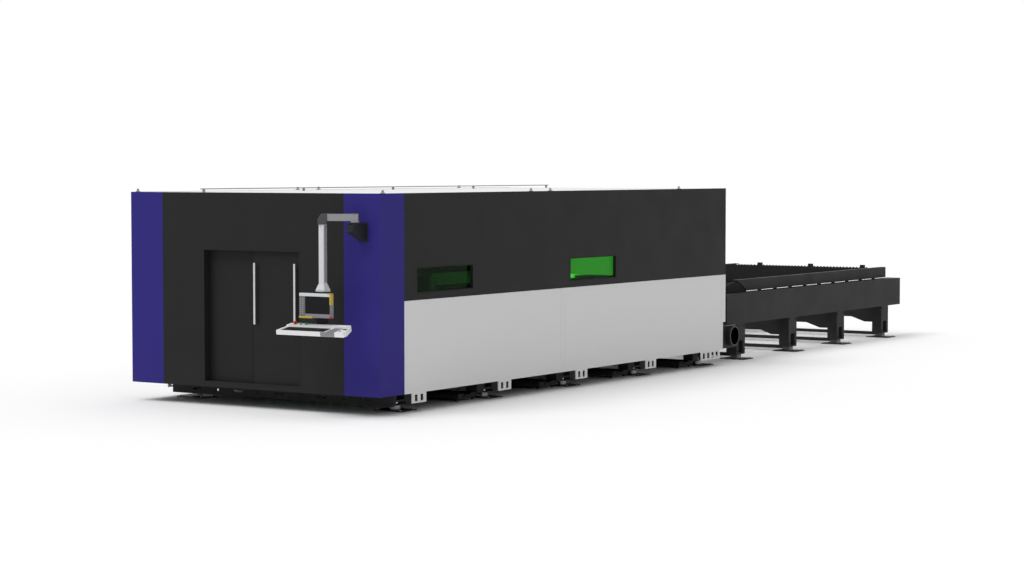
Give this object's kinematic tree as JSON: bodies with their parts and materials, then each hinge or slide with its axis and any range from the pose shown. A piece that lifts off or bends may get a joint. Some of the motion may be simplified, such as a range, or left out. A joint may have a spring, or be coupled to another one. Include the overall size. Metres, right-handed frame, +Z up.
{
  "type": "fiber laser cutting machine",
  "caption": "Closed fiber laser cutting machine with a sliding-door cabin, green side windows, a swing-arm operator panel and a pallet exchange table.",
  "frame": {"origin": "on the floor, under the middle of the whole machine's length and width", "axes": "+X towards the side with the operator panel, +Y from the front doors to the exchange table, +Z up"},
  "size_m": [3.78, 16.25, 2.62],
  "materials": {
    "blue": "satin",
    "black_panel": "satin powder coat",
    "white_panel": "satin powder coat",
    "charcoal": "satin",
    "bare_steel": "brushed",
    "door_grey": "satin powder coat",
    "green_glass": "clear tinted",
    "duct_grey": "satin",
    "light_grey": "satin",
    "dark_plastic": "matt",
    "screen_glass": "dark",
    "wheel_plastic": "matt",
    "brass": "turned",
    "red_plastic": "gloss",
    "green_plastic": "gloss"
  },
  "bodies": {
    "frame": {"bed_girders": "charcoal", "bed_legs": "charcoal", "bed_cross_members": "charcoal", "foot_plates": "charcoal", "levelling_pads": "bare_steel", "cabin_posts": "blue", "cabin_rails": "blue", "cabin_cross_tubes": "blue", "corner_columns": "blue", "front_panel": "black_panel", "rear_panel": "white_panel", "upper_side_panels": "black_panel", "lower_side_panels": "white_panel", "window_glass": "green_glass", "skirt_brackets": "white_panel", "roof_panels": "black_panel", "roof_rail": "charcoal", "door_tracks": "black_panel", "gantry_guideways": "bare_steel", "upper_runways": "charcoal", "runway_posts": "charcoal", "lower_runways": "charcoal", "table_beams": "charcoal", "portal_legs": "charcoal", "portal_webs": "charcoal", "table_foot_blocks": "white_panel", "portal_ties": "charcoal", "dust_duct": "duct_grey", "panel_bracket": "charcoal"},
    "door_right": {"door_right": "door_grey", "door_handles": "bare_steel"},
    "door_left": {"door_left": "door_grey"},
    "gantry": {"gantry_beam": "blue", "gantry_saddles": "light_grey", "gantry_motors": "dark_plastic"},
    "carriage": {"head_carriage": "light_grey"},
    "head": {"cutting_head": "light_grey", "nozzle": "brass"},
    "upper_pallet": {"upper_pallet_frame": "charcoal", "upper_pallet_slats": "bare_steel"},
    "lower_pallet": {"lower_pallet_frame": "charcoal", "lower_pallet_slats": "bare_steel"},
    "upper_front_wheels": {"upper_pallet_front_wheels": "wheel_plastic"},
    "upper_rear_wheels": {"upper_pallet_rear_wheels": "wheel_plastic"},
    "lower_front_wheels": {"lower_pallet_front_wheels": "wheel_plastic"},
    "lower_rear_wheels": {"lower_pallet_rear_wheels": "wheel_plastic"},
    "arm": {"swing_arm": "light_grey", "arm_elbow": "dark_plastic"},
    "operator_panel": {"drop_column": "light_grey", "display_housing": "light_grey", "display_screen": "screen_glass", "keyboard_tray": "light_grey", "keyboard": "dark_plastic"},
    "stop_button": {"emergency_stop": "red_plastic"},
    "green_button_a": {"green_button_1": "green_plastic"},
    "green_button_b": {"green_button_2": "green_plastic"},
    "drawer_1": {"slag_drawer_1": "bare_steel"},
    "drawer_2": {"slag_drawer_2": "bare_steel"},
    "drawer_3": {"slag_drawer_3": "bare_steel"},
    "drawer_4": {"slag_drawer_4": "bare_steel"}
  },
  "joints": [
    {"name": "door_right_slide", "type": "slide", "parent": "frame", "child": "door_right", "axis": [-1, 0, 0], "range_m": [0, 0.66]},
    {"name": "door_left_slide", "type": "slide", "parent": "frame", "child": "door_left", "axis": [1, 0, 0], "range_m": [0, 0.66]},
    {"name": "gantry_slide", "type": "slide", "parent": "frame", "child": "gantry", "axis": [0, 1, 0], "range_m": [0, 6.5]},
    {"name": "carriage_slide", "type": "slide", "parent": "gantry", "child": "carriage", "axis": [1, 0, 0], "range_m": [-1.23, 1.23]},
    {"name": "head_slide", "type": "slide", "parent": "carriage", "child": "head", "axis": [0, 0, 1], "range_m": [-0.07, 0.04]},
    {"name": "upper_pallet_slide", "type": "slide", "parent": "frame", "child": "upper_pallet", "axis": [0, -1, 0], "range_m": [0, 7.6]},
    {"name": "lower_pallet_slide", "type": "slide", "parent": "frame", "child": "lower_pallet", "axis": [0, 1, 0], "range_m": [0, 7.6]},
    {"name": "upper_front_wheels_turn", "type": "hinge", "parent": "upper_pallet", "child": "upper_front_wheels", "pos_m": [0, 2.845, 1.0913], "axis": [1, 0, 0], "continuous": true},
    {"name": "upper_rear_wheels_turn", "type": "hinge", "parent": "upper_pallet", "child": "upper_rear_wheels", "pos_m": [0, 7.565, 1.0913], "axis": [1, 0, 0], "continuous": true},
    {"name": "lower_front_wheels_turn", "type": "hinge", "parent": "lower_pallet", "child": "lower_front_wheels", "pos_m": [0, -4.755, 0.8033], "axis": [1, 0, 0], "continuous": true},
    {"name": "lower_rear_wheels_turn", "type": "hinge", "parent": "lower_pallet", "child": "lower_rear_wheels", "pos_m": [0, -0.035, 0.8033], "axis": [1, 0, 0], "continuous": true},
    {"name": "arm_turn", "type": "hinge", "parent": "frame", "child": "arm", "pos_m": [1.664, -7.62, 2.3], "axis": [0, 0, 1], "range_deg": [-5, 50]},
    {"name": "panel_turn", "type": "hinge", "parent": "arm", "child": "operator_panel", "pos_m": [1.345, -7.805, 2.2], "axis": [0, 0, 1], "range_deg": [-30, 30]},
    {"name": "stop_press", "type": "slide", "parent": "operator_panel", "child": "stop_button", "axis": [0, 0.1822, -0.9833], "range_m": [0, 0.0078], "stiffness_N_per_m": 600, "springref_m": -0.01},
    {"name": "green_press_a", "type": "slide", "parent": "operator_panel", "child": "green_button_a", "axis": [0, 0.1822, -0.9833], "range_m": [0, 0.0048], "stiffness_N_per_m": 300, "springref_m": -0.008},
    {"name": "green_press_b", "type": "slide", "parent": "operator_panel", "child": "green_button_b", "axis": [0, 0.1822, -0.9833], "range_m": [0, 0.0048], "stiffness_N_per_m": 300, "springref_m": -0.008},
    {"name": "drawer_1_slide", "type": "slide", "parent": "frame", "child": "drawer_1", "axis": [1, 0, 0], "range_m": [0, 1.2]},
    {"name": "drawer_2_slide", "type": "slide", "parent": "frame", "child": "drawer_2", "axis": [1, 0, 0], "range_m": [0, 1.2]},
    {"name": "drawer_3_slide", "type": "slide", "parent": "frame", "child": "drawer_3", "axis": [1, 0, 0], "range_m": [0, 1.2]},
    {"name": "drawer_4_slide", "type": "slide", "parent": "frame", "child": "drawer_4", "axis": [1, 0, 0], "range_m": [0, 1.2]}
  ],
  "couplings": [
    {"joint": "lower_pallet_slide", "follows": "upper_pallet_slide", "ratio": 1},
    {"joint": "upper_front_wheels_turn", "follows": "upper_pallet_slide", "rad_per_m": 25},
    {"joint": "upper_rear_wheels_turn", "follows": "upper_pallet_slide", "rad_per_m": 25},
    {"joint": "lower_front_wheels_turn", "follows": "upper_pallet_slide", "rad_per_m": -25},
    {"joint": "lower_rear_wheels_turn", "follows": "upper_pallet_slide", "rad_per_m": -25}
  ]
}
